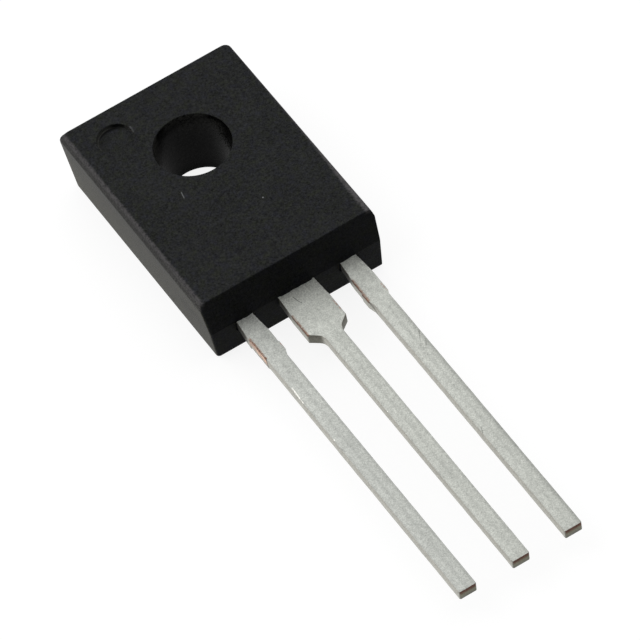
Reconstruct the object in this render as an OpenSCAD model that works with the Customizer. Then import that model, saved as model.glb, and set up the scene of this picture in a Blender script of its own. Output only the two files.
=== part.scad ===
// Power transistor in a moulded package with one mounting hole and three leads in a row.
// Millimetres. The origin is the centre of the mounting hole on the back face. +Z points out of
// the front face, +Y to the end of the case with the hole, and the leads run towards -Y.

/* [Moulded case] */
// Width of the case at its widest level, just under the front bevel
case_w = 7.66; // [7.4:0.01:8.2]
// Thickness of the case, back face to front face
case_h = 3.03; // [2.8:0.01:3.3]
// Hole axis to the end of the case beyond the hole, at its furthest
hole_to_end = 3.89; // [3.6:0.01:4.3]
// Hole axis to the end of the case that the leads leave, at the parting line
hole_to_leads = 7.17; // [6.9:0.01:7.6]
// Draft of the two long sides towards the back face, in degrees
side_draft = 3.9; // [1:0.1:6]
// Draft of the hole end towards the back face, in degrees
end_draft = 5.8; // [1:0.1:8]
// Draft of the lead end from the parting line up to the front face, in degrees
lead_end_draft = 10.6; // [3:0.1:12]
// Draft of the lead end from the parting line down to the back face, in degrees
lead_end_back_draft = 2.3; // [1:0.1:5]
// Height of the bevel along the long front edges
side_bevel_h = 0.4; // [0.2:0.01:0.6]
// Width of the bevel along the long front edges
side_bevel_w = 0.1; // [0.05:0.01:0.3]
// Height of the bevel across the hole end
end_bevel_h = 0.5; // [0.3:0.01:0.7]
// Width of the bevel across the hole end
end_bevel_w = 0.37; // [0.1:0.01:0.5]
// Radius of the two upright edges at the hole end
hole_corner_r = 0.15; // [0.1:0.01:0.5]
// Radius of the two upright edges at the lead end
lead_corner_r = 0.14; // [0.1:0.01:0.4]

/* [Mounting hole] */
// Diameter of the mounting hole
hole_d = 3.04; // [2.9:0.01:3.3]
// Moulding between the mounting hole and the metal around it
hole_lining = 0.55; // [0.3:0.05:0.8]

/* [Ejector recess] */
// Diameter of the round recess in the front face
recess_d = 1.44; // [1:0.01:1.8]
// Depth of the recess
recess_depth = 0.15; // [0.05:0.01:0.3]
// Hole axis to the centre of the recess, across the case
recess_across = 2.2; // [2:0.01:2.6]
// Hole axis to the centre of the recess, along the case
recess_along = 2.08; // [1.6:0.01:2.4]

/* [Leads] */
// Spacing of the leads
lead_pitch = 2.29; // [2.2:0.01:2.45]
// Thickness of the leads
lead_t = 0.49; // [0.4:0.01:0.6]
// Back face of the case to the underside of the leads
lead_z = 0.99; // [0.9:0.01:1.2]
// Width of the leads over their free length
lead_w = 0.74; // [0.6:0.01:0.8]
// Length of the leads outside the case
lead_len = 15.91; // [14.5:0.01:16.6]
// Width of the outer leads where they leave the case
throat_w = 0.69; // [0.6:0.01:0.8]
// Width of the outer leads along their stiff root
root_w = 0.87; // [0.82:0.01:1.1]
// Length over which a root widens from its throat
flare_l = 1.1; // [0.6:0.05:1.6]
// Case to the line where the tie bar between the leads was cut
tie_cut = 2.23; // [1.9:0.01:2.5]
// Width of the tie bar along the leads
tie_l = 0.45; // [0.2:0.05:0.6]
// How far the cut stub of the tie bar stands out of an outer lead
tie_stub = 0.03; // [0.01:0.01:0.08]
// Length of the slope from the stub down to the free width
tie_slope_l = 0.3; // [0.1:0.05:0.5]
// Corner cut at the tips of the leads
tip_cut = 0.04; // [0.02:0.01:0.1]

/* [Centre lead] */
// Width of the centre lead where it leaves the case
neck_throat_w = 1.58; // [1.4:0.01:1.7]
// Width of the centre lead along its neck
neck_w = 1.7; // [1.5:0.01:1.9]
// Slope of the neck's shoulders from square across, in degrees
shoulder_slope = 38.7; // [20:0.1:50]
// Radius between a shoulder and the free lead
shoulder_r = 0.5; // [0.2:0.05:0.7]

/* [Heat spreader] */
// Width of the metal that shows in the back face
spreader_w = 5.6; // [4.8:0.05:6]
// Metal beyond the lining, at the hole end
spreader_rim = 0.75; // [0.4:0.05:1]
// Radius of the spreader's two corners at the hole end
spreader_corner_r = 0.9; // [0.3:0.05:1.4]
// How far the upper step of the spreader stands out to lock into the moulding
lock_w = 0.25; // [0.1:0.05:0.35]
// Height of the part of the spreader below that step
lock_z = 0.5; // [0.3:0.05:0.7]
// How far the spreader's top stands above the underside of the leads
spreader_over = 0.26; // [0.15:0.01:0.35]
// Length of the sloping crank between the spreader and the centre lead
crank_l = 0.45; // [0.3:0.05:0.6]

/* [Inner posts] */
// Width of the posts that the wires are bonded to
post_w = 1.5; // [1.1:0.05:1.7]
// Length of the posts
post_l = 1.1; // [0.9:0.05:1.3]
// Case end to the posts, along the narrow stem
stem_l = 0.65; // [0.4:0.05:0.8]
// How far the posts are set towards the centre lead
post_shift = 0.15; // [0:0.05:0.25]
// Gap between the posts and the spreader
post_gap = 0.3; // [0.2:0.05:0.5]

/* [Chip] */
// Side of the square chip
chip_w = 1.7; // [1.2:0.05:2]
// Thickness of the chip
chip_t = 0.25; // [0.15:0.01:0.35]
// Thickness of the solder under the chip
solder_t = 0.05; // [0.02:0.01:0.1]
// Solder that shows around the chip
solder_margin = 0.06; // [0.02:0.01:0.15]

/* [Bond wires] */
// Diameter of the emitter wire
emitter_wire_d = 0.25; // [0.15:0.01:0.3]
// Diameter of the base wire
base_wire_d = 0.15; // [0.1:0.01:0.2]
// Height of the wire loops over the line between their feet
wire_rise = 0.65; // [0.4:0.05:0.8]
// Bonds on the chip, from the chip's centre line
bond_x = 0.4; // [0.3:0.05:0.5]

/* [Hidden] */

// Colours
epoxy_black = "#29292b";
tin_grey = "#b9bdb9";
silicon_grey = "#5a5f6b";
solder_grey = "#8d9096";
aluminium_grey = "#c9ccd0";

// Segments on the small curves, all of them true arcs
fine = 48;
$fn = 64;

// How far cutting shapes run past what they cut
over = 1;

// Levels and ends of the case
half_w = case_w / 2;
side_bevel_z = case_h - side_bevel_h;
end_bevel_z = case_h - end_bevel_h;
lead_top = lead_z + lead_t;
lead_end_y = -hole_to_leads;
tip_y = lead_end_y - lead_len;
tie_y = lead_end_y - tie_cut;

// Half width of the case and place of its hole end, at height z below the bevels
function side_x(z) = half_w - (side_bevel_z - z) * tan(side_draft);
function end_y(z) = hole_to_end - (end_bevel_z - z) * tan(end_draft);
// The same on the bevels, where z is above their lower edges
function side_bevel_x(z) = half_w - (z - side_bevel_z) * side_bevel_w / side_bevel_h;
function end_bevel_y(z) = hole_to_end - (z - end_bevel_z) * end_bevel_w / end_bevel_h;
// Hole axis to the lead end, at height z below the parting line and above it
function lead_end_below(z) = hole_to_leads - (lead_top - z) * tan(lead_end_back_draft);
function lead_end_above(z) = hole_to_leads - (z - lead_top) * tan(lead_end_draft);

// Spreader
spreader_t = lead_z + spreader_over;
spreader_hole_r = hole_d / 2 + hole_lining;
spreader_top_y = spreader_hole_r + spreader_rim;
post_top_y = lead_end_y + stem_l + post_l;
spreader_end_y = post_top_y + post_gap;

// Chip, on the middle of the metal between the lined hole and the posts
chip_y = (spreader_end_y - spreader_hole_r) / 2;
solder_z = spreader_t;
chip_z = solder_z + solder_t;
chip_top = chip_z + chip_t;

// Bond places on the posts
post_x = lead_pitch - post_shift;
post_bond_y = lead_end_y + stem_l + post_l / 2;

// Feet of the bond wires, as shares of the wire's diameter
foot_l = 3;
foot_w = 1.6;
foot_h = 0.6;

// The round of an upright edge keeps this share of its radius from both faces, so that the
// arc crosses them at a small angle
edge_inset = 0.985;

// Outline of the case seen along the leads
module end_view() {
  polygon([
    [side_x(0), 0],
    [half_w, side_bevel_z],
    [side_bevel_x(case_h), case_h],
    [-side_bevel_x(case_h), case_h],
    [-half_w, side_bevel_z],
    [-side_x(0), 0]
  ]);
}

// Outline of the case seen from the side, with the parting line at the top of the leads
module side_view() {
  polygon([
    [-lead_end_below(0), 0],
    [end_y(0), 0],
    [hole_to_end, end_bevel_z],
    [end_bevel_y(case_h), case_h],
    [-lead_end_above(case_h), case_h],
    [lead_end_y, lead_top]
  ]);
}

// What is cut away to round the edge between two sloping faces on the +X, +Y corner. The edge
// runs from one point to the other, and local X is square to the long side.
module edge_cut(from, to, radius) {
  along = to - from;
  lean_x = atan2(along.x, along.z);
  lean_y = -asin(along.y / norm(along));
  end_normal_x = sin(atan2(along.y, along.z)) * sin(lean_x);
  end_normal = [end_normal_x, sqrt(1 - end_normal_x * end_normal_x)];
  inset = edge_inset * radius;
  centre = [-inset, -inset * (1 - end_normal.x) / end_normal.y];
  translate(from)
    rotate([lean_y, lean_x, 0])
      translate([0, 0, -over])
        linear_extrude(norm(along) + 2 * over)
          difference() {
            polygon([
              centre,
              centre + [over, 0],
              centre + [over, over],
              centre + over * end_normal
            ]);
            translate(centre)
              circle(radius, $fn = fine);
          }
}

// What rounds the upright edge at the hole end on the +X side
module hole_corner_cut() {
  edge_cut(
    [side_x(0), end_y(0), 0],
    [side_x(end_bevel_z), hole_to_end, end_bevel_z],
    hole_corner_r
  );
  edge_cut(
    [half_w, end_bevel_y(side_bevel_z), side_bevel_z],
    [side_bevel_x(case_h), end_bevel_y(case_h), case_h],
    hole_corner_r
  );
}

// The same for the lead end, turned round to +Y, with a stretch on each side of the parting line
module lead_corner_cut() {
  parting = [side_x(lead_top), hole_to_leads, lead_top];
  shoulder = [half_w, lead_end_above(side_bevel_z), side_bevel_z];
  edge_cut([side_x(0), lead_end_below(0), 0], parting, lead_corner_r);
  edge_cut(parting, shoulder, lead_corner_r);
  edge_cut(shoulder, [side_bevel_x(case_h), lead_end_above(case_h), case_h], lead_corner_r);
}

// The whole outer form of the case, with nothing in it
module case_form() {
  difference() {
    intersection() {
      rotate([90, 0, 0])
        linear_extrude(2 * (hole_to_leads + over), center = true)
          end_view();
      rotate([90, 0, 90])
        linear_extrude(case_w + 2 * over, center = true)
          side_view();
    }
    for (side = [0, 1])
      mirror([side, 0, 0]) {
        hole_corner_cut();
        mirror([0, 1, 0])
          lead_corner_cut();
      }
  }
}

module moulded_case() {
  color(epoxy_black)
    difference() {
      case_form();
      translate([0, 0, -over])
        cylinder(d = hole_d, h = case_h + 2 * over);
      translate([-recess_across, recess_along, case_h - recess_depth])
        cylinder(d = recess_d, h = recess_depth + over);
      collector_frame();
      emitter_lead();
      base_lead();
      die_solder();
      transistor_die();
      emitter_wire();
      base_wire();
    }
}

// Outline of a plate with its two far corners rounded, w wide, from y0 to y1
module plate_outline(w, y0, y1) {
  r = spreader_corner_r;
  translate([-w / 2, y0])
    square([w, y1 - y0 - r]);
  translate([-w / 2 + r, y0])
    square([w - 2 * r, y1 - y0]);
  for (side = [-1, 1])
    translate([side * (w / 2 - r), y1 - r])
      circle(r);
}

// Copper slab that carries the chip. Its lower part shows in the back face, and the wider upper
// part locks it into the moulding.
module heat_spreader() {
  difference() {
    union() {
      linear_extrude(spreader_t)
        plate_outline(spreader_w, spreader_end_y + lock_w, spreader_top_y);
      translate([0, 0, lock_z])
        linear_extrude(spreader_t - lock_z)
          plate_outline(spreader_w + 2 * lock_w, spreader_end_y, spreader_top_y + lock_w);
    }
    translate([0, 0, -over])
      cylinder(r = spreader_hole_r, h = spreader_t + 2 * over);
  }
}

// Crank from the thick spreader up to the level of the leads, inside the case
module crank() {
  rotate([90, 0, 90])
    linear_extrude(neck_throat_w, center = true)
      polygon([
        [spreader_end_y + lock_w, lock_z],
        [spreader_end_y + lock_w, spreader_t],
        [spreader_end_y + lock_w - crank_l, lead_top],
        [lead_end_y, lead_top],
        [lead_end_y, lead_z],
        [spreader_end_y - crank_l, lead_z],
        [spreader_end_y, lock_z]
      ]);
}

// Fills the corner between a shoulder of the neck and the free lead on the +X side
module shoulder_fillet(corner) {
  reach = shoulder_r * tan((90 - shoulder_slope) / 2);
  centre = corner + [shoulder_r, -reach];
  difference() {
    polygon([
      corner,
      corner + reach * [cos(shoulder_slope), sin(shoulder_slope)],
      centre,
      corner - [0, reach]
    ]);
    translate(centre)
      circle(shoulder_r, $fn = fine);
  }
}

// Outline of the centre lead outside the case
module centre_lead_outline() {
  free = lead_w / 2;
  shoulder_drop = (neck_w - lead_w) / 2 * tan(shoulder_slope);
  polygon([
    [neck_throat_w / 2, lead_end_y],
    [neck_w / 2, lead_end_y - flare_l],
    [neck_w / 2, tie_y],
    [free, tie_y - shoulder_drop],
    [free, tip_y + tip_cut],
    [free - tip_cut, tip_y],
    [-free + tip_cut, tip_y],
    [-free, tip_y + tip_cut],
    [-free, tie_y - shoulder_drop],
    [-neck_w / 2, tie_y],
    [-neck_w / 2, lead_end_y - flare_l],
    [-neck_throat_w / 2, lead_end_y]
  ]);
  for (side = [0, 1])
    mirror([side, 0])
      shoulder_fillet([free, tie_y - shoulder_drop]);
}

module collector_frame() {
  color(tin_grey) {
    heat_spreader();
    crank();
    translate([0, 0, lead_z])
      linear_extrude(lead_t)
        centre_lead_outline();
  }
}

// Outline of an outer lead about its own centre line: the post inside the case, its narrow stem,
// the stiff root and the free lead. The cut stub of the tie bar is on the -X side, which faces
// the centre lead.
module outer_lead_outline() {
  free = lead_w / 2;
  root = root_w / 2;
  throat = throat_w / 2;
  polygon([
    [-post_shift - post_w / 2, post_top_y],
    [-post_shift + post_w / 2, post_top_y],
    [-post_shift + post_w / 2, lead_end_y + stem_l],
    [throat, lead_end_y + stem_l],
    [throat, lead_end_y],
    [root, lead_end_y - flare_l],
    [root, tie_y],
    [free, tie_y - tie_slope_l / 2],
    [free, tip_y + tip_cut],
    [free - tip_cut, tip_y],
    [-free + tip_cut, tip_y],
    [-free, tip_y + tip_cut],
    [-free, tie_y - tie_slope_l],
    [-root - tie_stub, tie_y],
    [-root - tie_stub, tie_y + tie_l],
    [-root, tie_y + tie_l],
    [-root, lead_end_y - flare_l],
    [-throat, lead_end_y],
    [-throat, lead_end_y + stem_l],
    [-post_shift - post_w / 2, lead_end_y + stem_l]
  ]);
}

module base_lead() {
  color(tin_grey)
    translate([lead_pitch, 0, lead_z])
      linear_extrude(lead_t)
        outer_lead_outline();
}

module emitter_lead() {
  mirror([1, 0, 0])
    base_lead();
}

// Square block on the spreader over the chip's place, with its foot at height z
module chip_block(w, z, t) {
  translate([-w / 2, chip_y - w / 2, z])
    cube([w, w, t]);
}

module die_solder() {
  color(solder_grey)
    chip_block(chip_w + 2 * solder_margin, solder_z, solder_t);
}

module transistor_die() {
  color(silicon_grey)
    chip_block(chip_w, chip_z, chip_t);
}

// Flattened foot of a bond wire at a place on a pad, pointing along a heading in degrees
module wire_foot(place, heading, d) {
  translate(place)
    rotate([0, 0, heading])
      translate([-foot_l * d / 2, -foot_w * d / 2, 0])
        cube([foot_l * d, foot_w * d, foot_h * d]);
}

// Bond wire: one true arc that rises between two flattened feet
module bond_wire(from, to, d) {
  lift = [0, 0, d / 2];
  span = to - from;
  chord = norm(span);
  heading = atan2(span.y, span.x);
  pitch = -asin(span.z / chord);
  bend_r = (chord * chord / 4 + wire_rise * wire_rise) / (2 * wire_rise);
  half_angle = asin(chord / (2 * bend_r));
  wire_foot(from, heading, d);
  wire_foot(to, heading, d);
  translate((from + to) / 2 + lift)
    rotate([0, pitch, heading])
      translate([0, 0, wire_rise - bend_r])
        rotate([90, 0, 0])
          rotate([0, 0, 90 - half_angle])
            rotate_extrude(angle = 2 * half_angle)
              translate([bend_r, 0])
                circle(d = d, $fn = fine);
}

module base_wire() {
  color(aluminium_grey)
    bond_wire([bond_x, chip_y, chip_top], [post_x, post_bond_y, lead_top], base_wire_d);
}

module emitter_wire() {
  color(aluminium_grey)
    bond_wire([-bond_x, chip_y, chip_top], [-post_x, post_bond_y, lead_top], emitter_wire_d);
}

moulded_case();
collector_frame();
emitter_lead();
base_lead();
transistor_die();
die_solder();
emitter_wire();
base_wire();
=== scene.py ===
"""Dresses a moulded power transistor: its black case, its tinned leads and the studio light.

Inside the classes lengths are in millimetres, the unit of such a part's drawing, and they turn
into metres where a mesh is made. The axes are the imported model's: +Z out of the front face, +Y to
the end of the case with the screw hole, and the leads run towards -Y.
"""

import logging
import math
from collections.abc import Callable
from dataclasses import dataclass
from enum import Enum

import bmesh
import bpy
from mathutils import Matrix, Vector, noise


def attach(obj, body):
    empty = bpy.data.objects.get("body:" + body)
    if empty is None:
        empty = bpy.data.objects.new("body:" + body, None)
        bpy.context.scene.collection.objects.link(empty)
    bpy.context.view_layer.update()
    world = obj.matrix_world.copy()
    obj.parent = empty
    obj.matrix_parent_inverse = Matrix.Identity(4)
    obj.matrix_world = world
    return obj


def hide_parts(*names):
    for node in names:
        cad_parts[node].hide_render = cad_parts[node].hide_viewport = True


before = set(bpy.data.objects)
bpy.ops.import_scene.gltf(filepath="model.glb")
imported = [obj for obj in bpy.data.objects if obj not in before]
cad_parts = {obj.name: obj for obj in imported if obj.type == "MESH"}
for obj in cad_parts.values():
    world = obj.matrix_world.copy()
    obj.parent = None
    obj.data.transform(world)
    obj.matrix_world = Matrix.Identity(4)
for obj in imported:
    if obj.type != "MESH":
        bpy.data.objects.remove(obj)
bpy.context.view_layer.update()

LOG = logging.getLogger("transistor")
MM = 0.001
ROOT_BODY = "root"

CASE_END = -7.17
LEAD_TOP = 1.48
LEAD_BOTTOM = 0.99
PITCH = 2.29
CUTTER_REACH = 0.5
WELD_GAP = 0.0008
FLAT_ANGLE = 0.4
SHARP_ANGLE = 32
NORMAL_WEIGHT = 100
NOISE_SEED = 7

Colour = tuple[float, float, float, float]
Place = tuple[float, float, float]
Spot = tuple[float, float]
Path = list[Spot]
Steps = tuple[Spot, ...]
Shape = bmesh.types.BMesh
Socket = bpy.types.NodeSocket
Material = bpy.types.Material

WHITE: Colour = (1.0, 1.0, 1.0, 1.0)
BLACK: Colour = (0.0, 0.0, 0.0, 1.0)


def tone(red: int, green: int, blue: int) -> Colour:
    """Turns a colour as a screen shows it into the linear colour that a shader takes.

    Args:
        red, green, blue: the screen's values, 0 to 255.

    Returns:
        The linear colour, with an alpha of 1.
    """
    def linear(value: int) -> float:
        """One channel by the usual display curve."""
        share = value / 255
        return share / 12.92 if share <= 0.04045 else ((share + 0.055) / 1.055) ** 2.4

    return (linear(red), linear(green), linear(blue), 1.0)


class Slot(Enum):
    """The material slots."""

    CASE = "case_epoxy"
    TIN = "tinned_copper"
    CHIP = "chip_silicon"
    SOLDER = "chip_solder"
    WIRE = "wire_aluminium"


def operator(operation: str, swapped: bool = False) -> Callable[["Level", "Level | float"], "Level"]:
    """Makes one of Level's operators.

    Args:
        operation: what its Math node does.
        swapped: whether the other term comes first.

    Returns:
        The operator.
    """
    def apply(level: "Level", other: "Level | float") -> "Level":
        """Adds the Math node."""
        terms = (other, level) if swapped else (level, other)
        return level.tree.math(operation, *terms)

    return apply


class Level:
    """A number in a node tree. Python's operators on it add Math nodes.

    The signs | and & give the larger and the smaller of two numbers.
    """

    def __init__(self, tree: "ShaderTree", socket: Socket) -> None:
        """Keeps the socket and the tree that it belongs to."""
        self.tree = tree
        self.socket = socket

    __add__ = operator("ADD")
    __radd__ = operator("ADD", swapped=True)
    __sub__ = operator("SUBTRACT")
    __rsub__ = operator("SUBTRACT", swapped=True)
    __mul__ = operator("MULTIPLY")
    __rmul__ = operator("MULTIPLY", swapped=True)
    __truediv__ = operator("DIVIDE")
    __or__ = operator("MAXIMUM")
    __and__ = operator("MINIMUM")

    def __abs__(self) -> "Level":
        """The size without its sign."""
        return self.tree.math("ABSOLUTE", self)

    def rise(self, start: float, end: float) -> "Level":
        """A smooth step: 0 at start and 1 at end, which may lie below start."""
        return self.tree.step(self, start, end)


class ShaderTree:
    """A material's node tree, with its surface shader and the object's own millimetres."""

    MIX_FACTOR = 0
    MIX_COLOURS = (6, 7)
    MIXED_COLOUR = 2

    def __init__(self, name: str) -> None:
        """Starts a material of that name with one surface shader."""
        self.material = bpy.data.materials.new(name)
        self.material.use_nodes = True
        self.tree = self.material.node_tree
        self.tree.nodes.clear()
        self.surface = self.node("ShaderNodeBsdfPrincipled")
        shown = {"Surface": self.surface.outputs["BSDF"]}
        self.output = self.node("ShaderNodeOutputMaterial", inputs=shown)
        metres = self.node("ShaderNodeTexCoord").outputs["Object"]
        self.place = self.vector("SCALE", metres, scale=1 / MM)
        axes = self.node("ShaderNodeSeparateXYZ", inputs={0: self.place})
        self.x, self.y, self.z = (Level(self, axes.outputs[i]) for i in range(3))
        facing = self.node("ShaderNodeTexCoord").outputs["Normal"]
        normals = self.node("ShaderNodeSeparateXYZ", inputs={0: facing})
        self.facing_x, self.facing_y, self.facing_z = (
            Level(self, normals.outputs[i]) for i in range(3)
        )

    def node(
        self, kind: str, settings: dict | None = None, inputs: dict | None = None
    ) -> bpy.types.Node:
        """Adds one node.

        Args:
            kind: the node's type.
            settings: its own properties, set first.
            inputs: values or links for its sockets, by name or number.

        Returns:
            The new node.
        """
        made = self.tree.nodes.new(kind)
        for name, value in (settings or {}).items():
            setattr(made, name, value)
        for key, value in (inputs or {}).items():
            socket = value.socket if isinstance(value, Level) else value
            if isinstance(socket, Socket):
                self.tree.links.new(socket, made.inputs[key])
            else:
                made.inputs[key].default_value = socket
        return made

    def math(self, operation: str, *terms: Level | float) -> Level:
        """A Math node on up to three numbers."""
        made = self.node("ShaderNodeMath", {"operation": operation}, dict(enumerate(terms)))
        return Level(self, made.outputs[0])

    def vector(
        self, operation: str, *terms: object, scale: float | Level | None = None
    ) -> Socket:
        """A Vector Math node that gives a vector."""
        inputs = dict(enumerate(terms))
        if scale is not None:
            inputs["Scale"] = scale
        return self.node("ShaderNodeVectorMath", {"operation": operation}, inputs).outputs["Vector"]

    def measure(self, operation: str, *terms: object) -> Level:
        """A Vector Math node that gives a number, such as a length or a dot product."""
        made = self.node("ShaderNodeVectorMath", {"operation": operation}, dict(enumerate(terms)))
        return Level(self, made.outputs["Value"])

    def step(self, value: Level, start: float, end: float) -> Level:
        """A smooth step from 0 at start to 1 at end."""
        low, high = (start, end) if start < end else (end, start)
        floor, ceiling = (0.0, 1.0) if start < end else (1.0, 0.0)
        made = self.node(
            "ShaderNodeMapRange",
            {"interpolation_type": "SMOOTHSTEP"},
            dict(enumerate((value, low, high, floor, ceiling))),
        )
        return Level(self, made.outputs[0])

    def mix(self, share: Level | float, first: object, second: object) -> Socket:
        """A colour between two colours: the first where share is 0 and the second where it is 1."""
        settings = {"data_type": "RGBA", "clamp_factor": True}
        inputs = {self.MIX_FACTOR: share, **dict(zip(self.MIX_COLOURS, (first, second)))}
        return self.node("ShaderNodeMix", settings, inputs).outputs[self.MIXED_COLOUR]

    def shade(self, colour: object, factor: Level) -> Socket:
        """A colour made lighter or darker by a factor round 1."""
        plain = colour[:3] if isinstance(colour, tuple) else colour
        return self.vector("SCALE", plain, scale=factor)

    def grain(
        self,
        scale: float,
        detail: float = 2.0,
        roughness: float = 0.5,
        stretch: Place = (1.0, 1.0, 1.0),
        shift: Place = (0.0, 0.0, 0.0),
    ) -> Level:
        """Soft noise, with scale in waves per millimetre.

        Args:
            scale: waves per millimetre.
            detail: octaves.
            roughness: how strong the finer octaves are.
            stretch: factors on the three axes; below 1 the noise is drawn out along that axis.
            shift: moves the noise, in millimetres.

        Returns:
            A number round 0.5.
        """
        moved = self.vector("ADD", self.place, shift)
        drawn = self.vector("MULTIPLY", moved, stretch)
        made = self.node(
            "ShaderNodeTexNoise",
            {"noise_dimensions": "3D"},
            {"Vector": drawn, "Scale": scale, "Detail": detail, "Roughness": roughness},
        )
        return Level(self, made.outputs[0])

    def near_line(self, start: Place, end: Place, half_width: float, soft: float) -> Level:
        """A mask along a straight stroke.

        Args:
            start, end: the stroke's ends.
            half_width: distance at which the mask has fallen to nothing.
            soft: how much of that distance is the soft edge, in millimetres.

        Returns:
            1 on the stroke and 0 away from it.
        """
        run = Vector(end) - Vector(start)
        from_start = self.vector("SUBTRACT", self.place, start)
        share = self.measure("DOT_PRODUCT", from_start, tuple(run)) / run.length_squared
        foot = self.vector("SCALE", tuple(run), scale=(share | 0.0) & 1.0)
        away = self.measure("LENGTH", self.vector("SUBTRACT", from_start, foot))
        return away.rise(half_width, half_width - soft)

    def radius(self, centre: Spot) -> Level:
        """The distance from an upright axis."""
        out = self.vector("SUBTRACT", self.place, (*centre, 0.0))
        return self.measure("LENGTH", self.vector("MULTIPLY", out, (1.0, 1.0, 0.0)))

    def relief(self, height_mm: Level, strength: float = 1.0) -> Socket:
        """A bump normal from a height in millimetres."""
        inputs = {"Strength": strength, "Distance": MM, "Height": height_mm}
        return self.node("ShaderNodeBump", {}, inputs).outputs["Normal"]

    def show_front_only(self) -> None:
        """Clears the surface where it is seen from behind, as a floor is from below."""
        behind = self.node("ShaderNodeNewGeometry").outputs["Backfacing"]
        clear = self.node("ShaderNodeBsdfTransparent").outputs["BSDF"]
        sides = {"Fac": behind, 1: self.surface.outputs["BSDF"], 2: clear}
        both = self.node("ShaderNodeMixShader", inputs=sides).outputs["Shader"]
        self.tree.links.new(both, self.output.inputs["Surface"])

    def set(self, **sockets: object) -> Material:
        """Sets or links the surface shader's sockets.

        Args:
            sockets: values or links by the socket's name, with underscores for spaces.

        Returns:
            The material.
        """
        for name, value in sockets.items():
            socket = self.surface.inputs[name.replace("_", " ")]
            link = value.socket if isinstance(value, Level) else value
            if isinstance(link, Socket):
                self.tree.links.new(link, socket)
            else:
                socket.default_value = link
        return self.material


@dataclass(frozen=True)
class Stroke:
    """A scratch, smear or speck on a surface, as a straight soft-edged line."""

    start: Place
    end: Place
    half_width: float
    colour: Colour
    strength: float = 1.0
    broken: float = 0.0
    soft: float = 0.7

    def over(self, tree: ShaderTree, base: object) -> object:
        """Lays the stroke over a colour.

        Args:
            tree: the material's tree.
            base: the colour under it.

        Returns:
            The colour with the stroke.
        """
        edge = self.soft * self.half_width
        mask = tree.near_line(self.start, self.end, self.half_width, edge)
        if self.broken > 0:
            gaps = tree.grain(9.0, detail=3.0, roughness=0.7, shift=(7.0, 3.0, 1.0))
            mask = mask * (1.0 - self.broken * gaps.rise(0.46, 0.56))
        return tree.mix(mask * self.strength, base, self.colour)


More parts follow.
